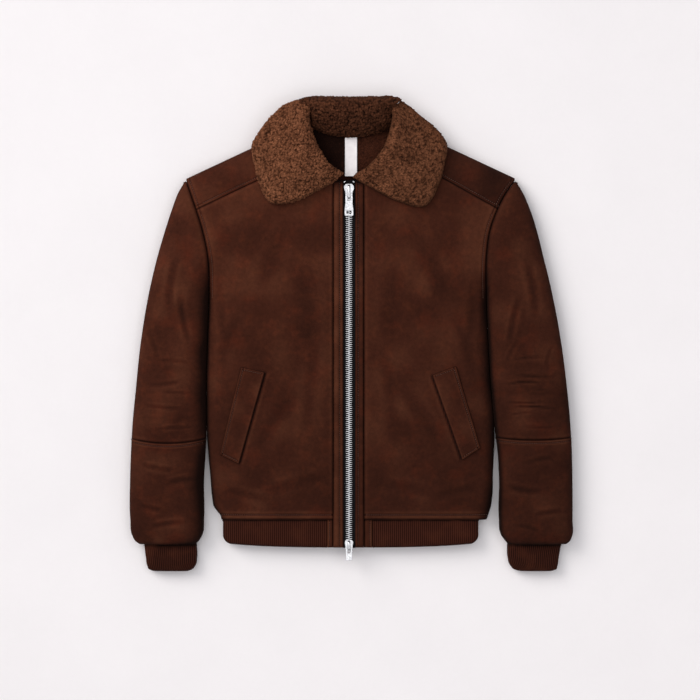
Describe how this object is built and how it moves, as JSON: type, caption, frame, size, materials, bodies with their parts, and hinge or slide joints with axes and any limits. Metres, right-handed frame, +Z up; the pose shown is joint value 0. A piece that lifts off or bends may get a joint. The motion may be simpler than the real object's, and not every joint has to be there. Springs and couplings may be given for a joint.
{
  "type": "shearling jacket laid flat",
  "caption": "Shearling jacket laid flat on its back, with a curly wool collar, two-way zip, slanted pockets and rib-knit hem and cuffs.",
  "frame": {"origin": "middle of the jacket's outline on the surface that it lies on", "axes": "+X towards the sleeve on the right of the picture, +Y from hem to collar, +Z up from the surface, out of the jacket's front"},
  "size_m": [0.7114, 0.7604, 0.0672],
  "materials": {
    "suede": "brushed suede side of a sheepskin",
    "curly_wool": "clipped curly wool",
    "rib_knit": "ribbed wool knit",
    "facing": "short wool pile",
    "zip_metal": "polished nickel plate",
    "zip_tape": "woven tape",
    "label": "bare satin ribbon"
  },
  "bodies": {
    "jacket": {"back": "suede", "front_left": "suede", "front_right": "suede", "yoke_left": "suede", "yoke_right": "suede", "placket_left": "suede", "placket_right": "suede", "pocket_welt_left": "suede", "pocket_welt_right": "suede", "hem_rib_left": "rib_knit", "hem_rib_right": "rib_knit", "hem_rib_back": "rib_knit", "hem_tab_left": "suede", "hem_tab_right": "suede", "upper_sleeve_front_left": "suede", "upper_sleeve_back_left": "suede", "upper_sleeve_front_right": "suede", "upper_sleeve_back_right": "suede", "forearm_front_left": "suede", "forearm_back_left": "suede", "forearm_front_right": "suede", "forearm_back_right": "suede", "cuff_front_left": "rib_knit", "cuff_back_left": "rib_knit", "cuff_front_right": "rib_knit", "cuff_back_right": "rib_knit", "collar_leaf_left": "curly_wool", "collar_leaf_right": "curly_wool", "collar_stand_back": "curly_wool", "collar_fall_back": "curly_wool", "collar_fall_left": "curly_wool", "collar_fall_right": "curly_wool", "neck_facing": "facing", "neck_label": "label", "zip_tape_left": "zip_tape", "zip_tape_right": "zip_tape", "zip_chain": "zip_metal", "zip_stop_left": "zip_metal", "zip_stop_right": "zip_metal", "zip_slider_top": "zip_metal", "zip_slider_bottom": "zip_metal"},
    "top_pull": {"zip_pull_top": "zip_metal"},
    "bottom_pull": {"zip_pull_bottom": "zip_metal"}
  },
  "joints": [
    {"name": "top_pull_hinge", "type": "hinge", "parent": "jacket", "child": "top_pull", "pos_m": [-0.0039, 0.2213, 0.0408], "axis": [-1, 0, 0], "range_deg": [0, 140]},
    {"name": "bottom_pull_hinge", "type": "hinge", "parent": "jacket", "child": "bottom_pull", "pos_m": [-0.0039, -0.3412, 0.0408], "axis": [-1, 0, 0], "range_deg": [0, 140]}
  ]
}
